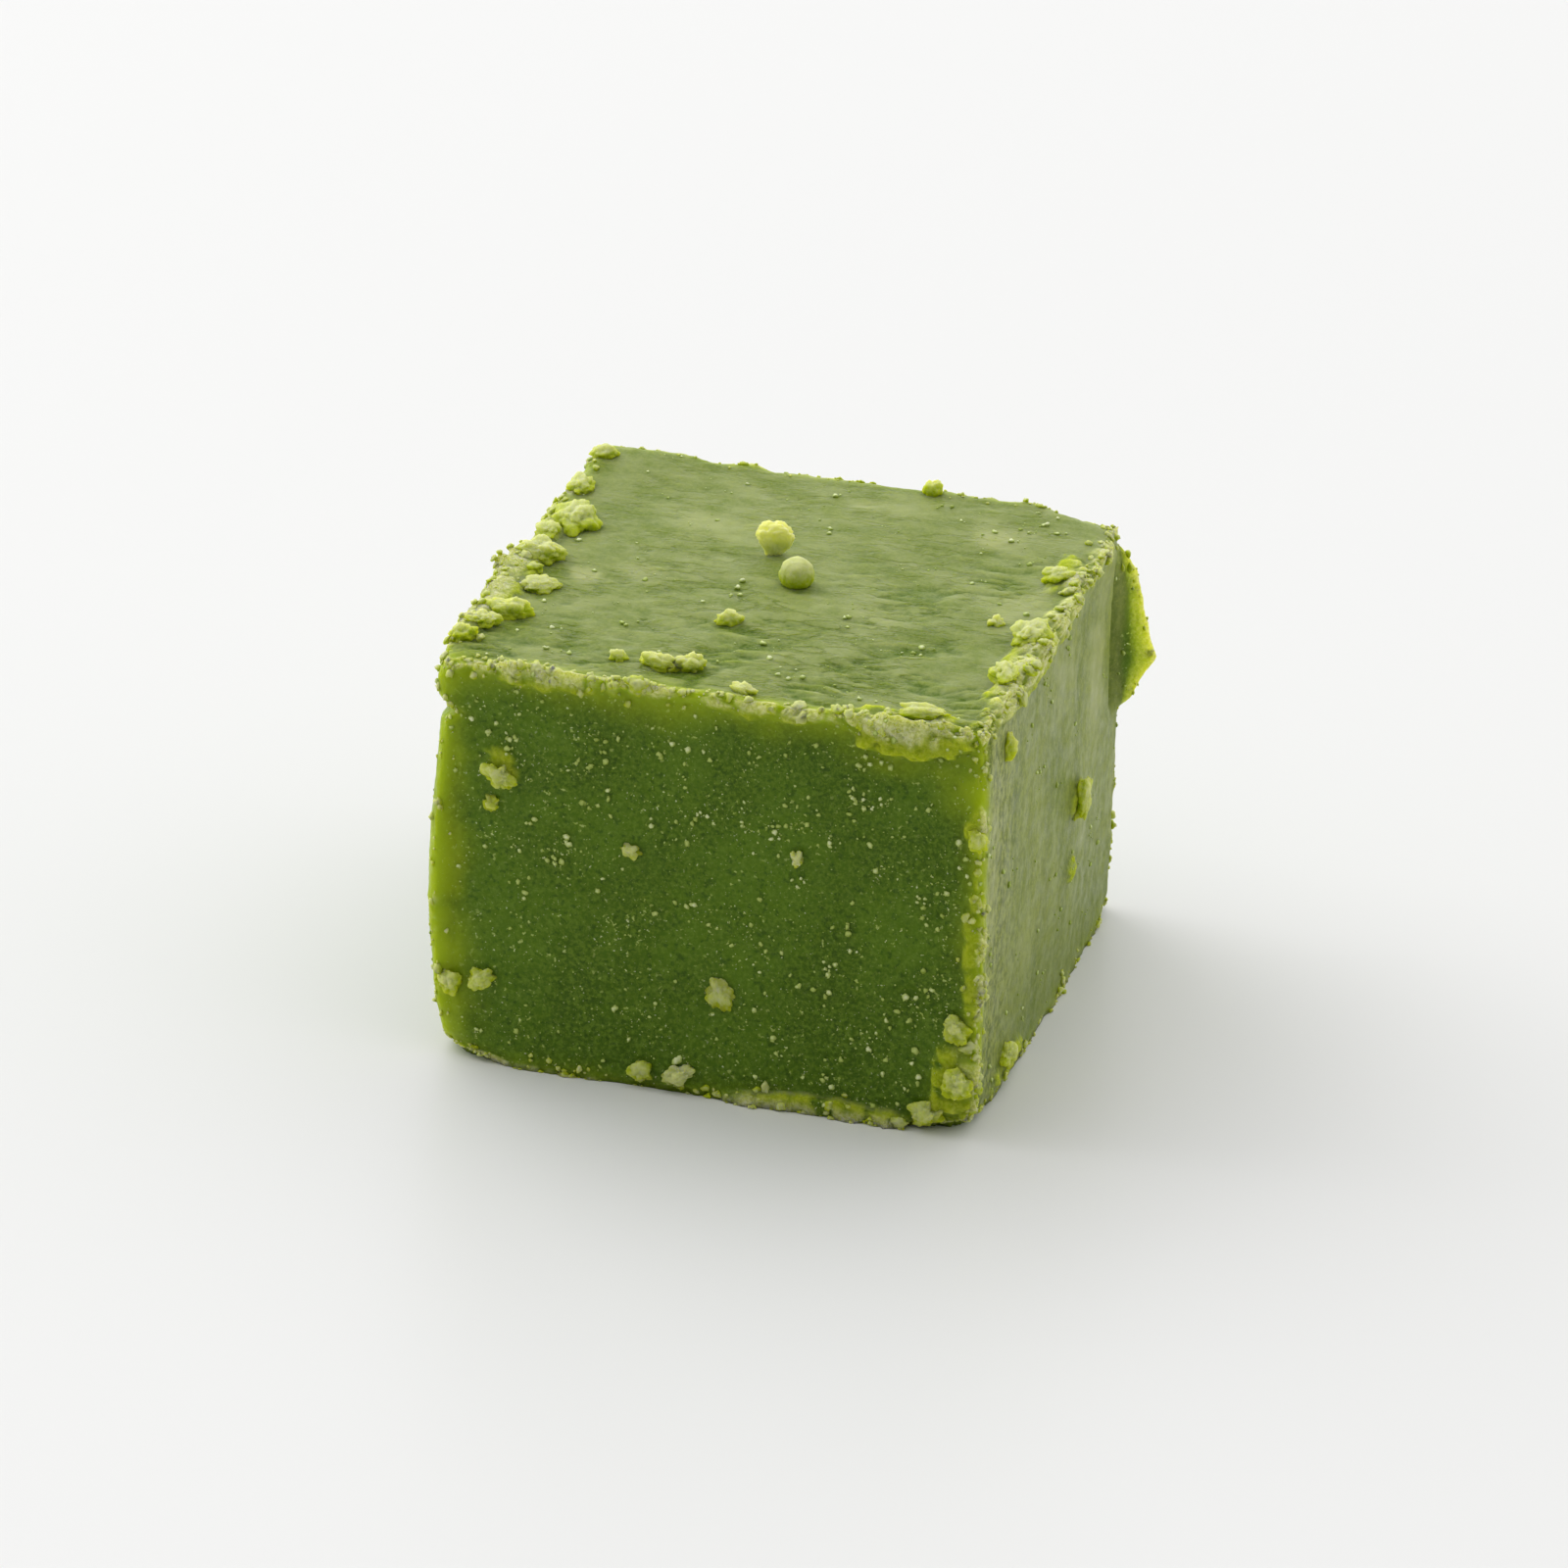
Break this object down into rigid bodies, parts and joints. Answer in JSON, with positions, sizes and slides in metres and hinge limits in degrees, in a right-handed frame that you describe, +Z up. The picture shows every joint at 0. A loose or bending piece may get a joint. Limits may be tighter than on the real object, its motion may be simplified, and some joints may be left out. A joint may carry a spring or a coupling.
{
  "type": "green tea nama chocolate",
  "caption": "Hand-cut block of soft green tea ganache chocolate, wider than tall, with ragged knife lips along its edges and small crumbs stuck to its flat sides.",
  "frame": {"origin": "middle of the flat base that the piece rests on", "axes": "+Z up through the top face, +X across the width, -Y out of the front face"},
  "size_m": [0.024, 0.0233, 0.0185],
  "materials": {
    "green_tea_ganache": "soft waxy satin, faintly translucent at the edges, dusted with pale crumbs"
  },
  "bodies": {
    "root": {"ganache_piece": "green_tea_ganache"}
  },
  "joints": []
}
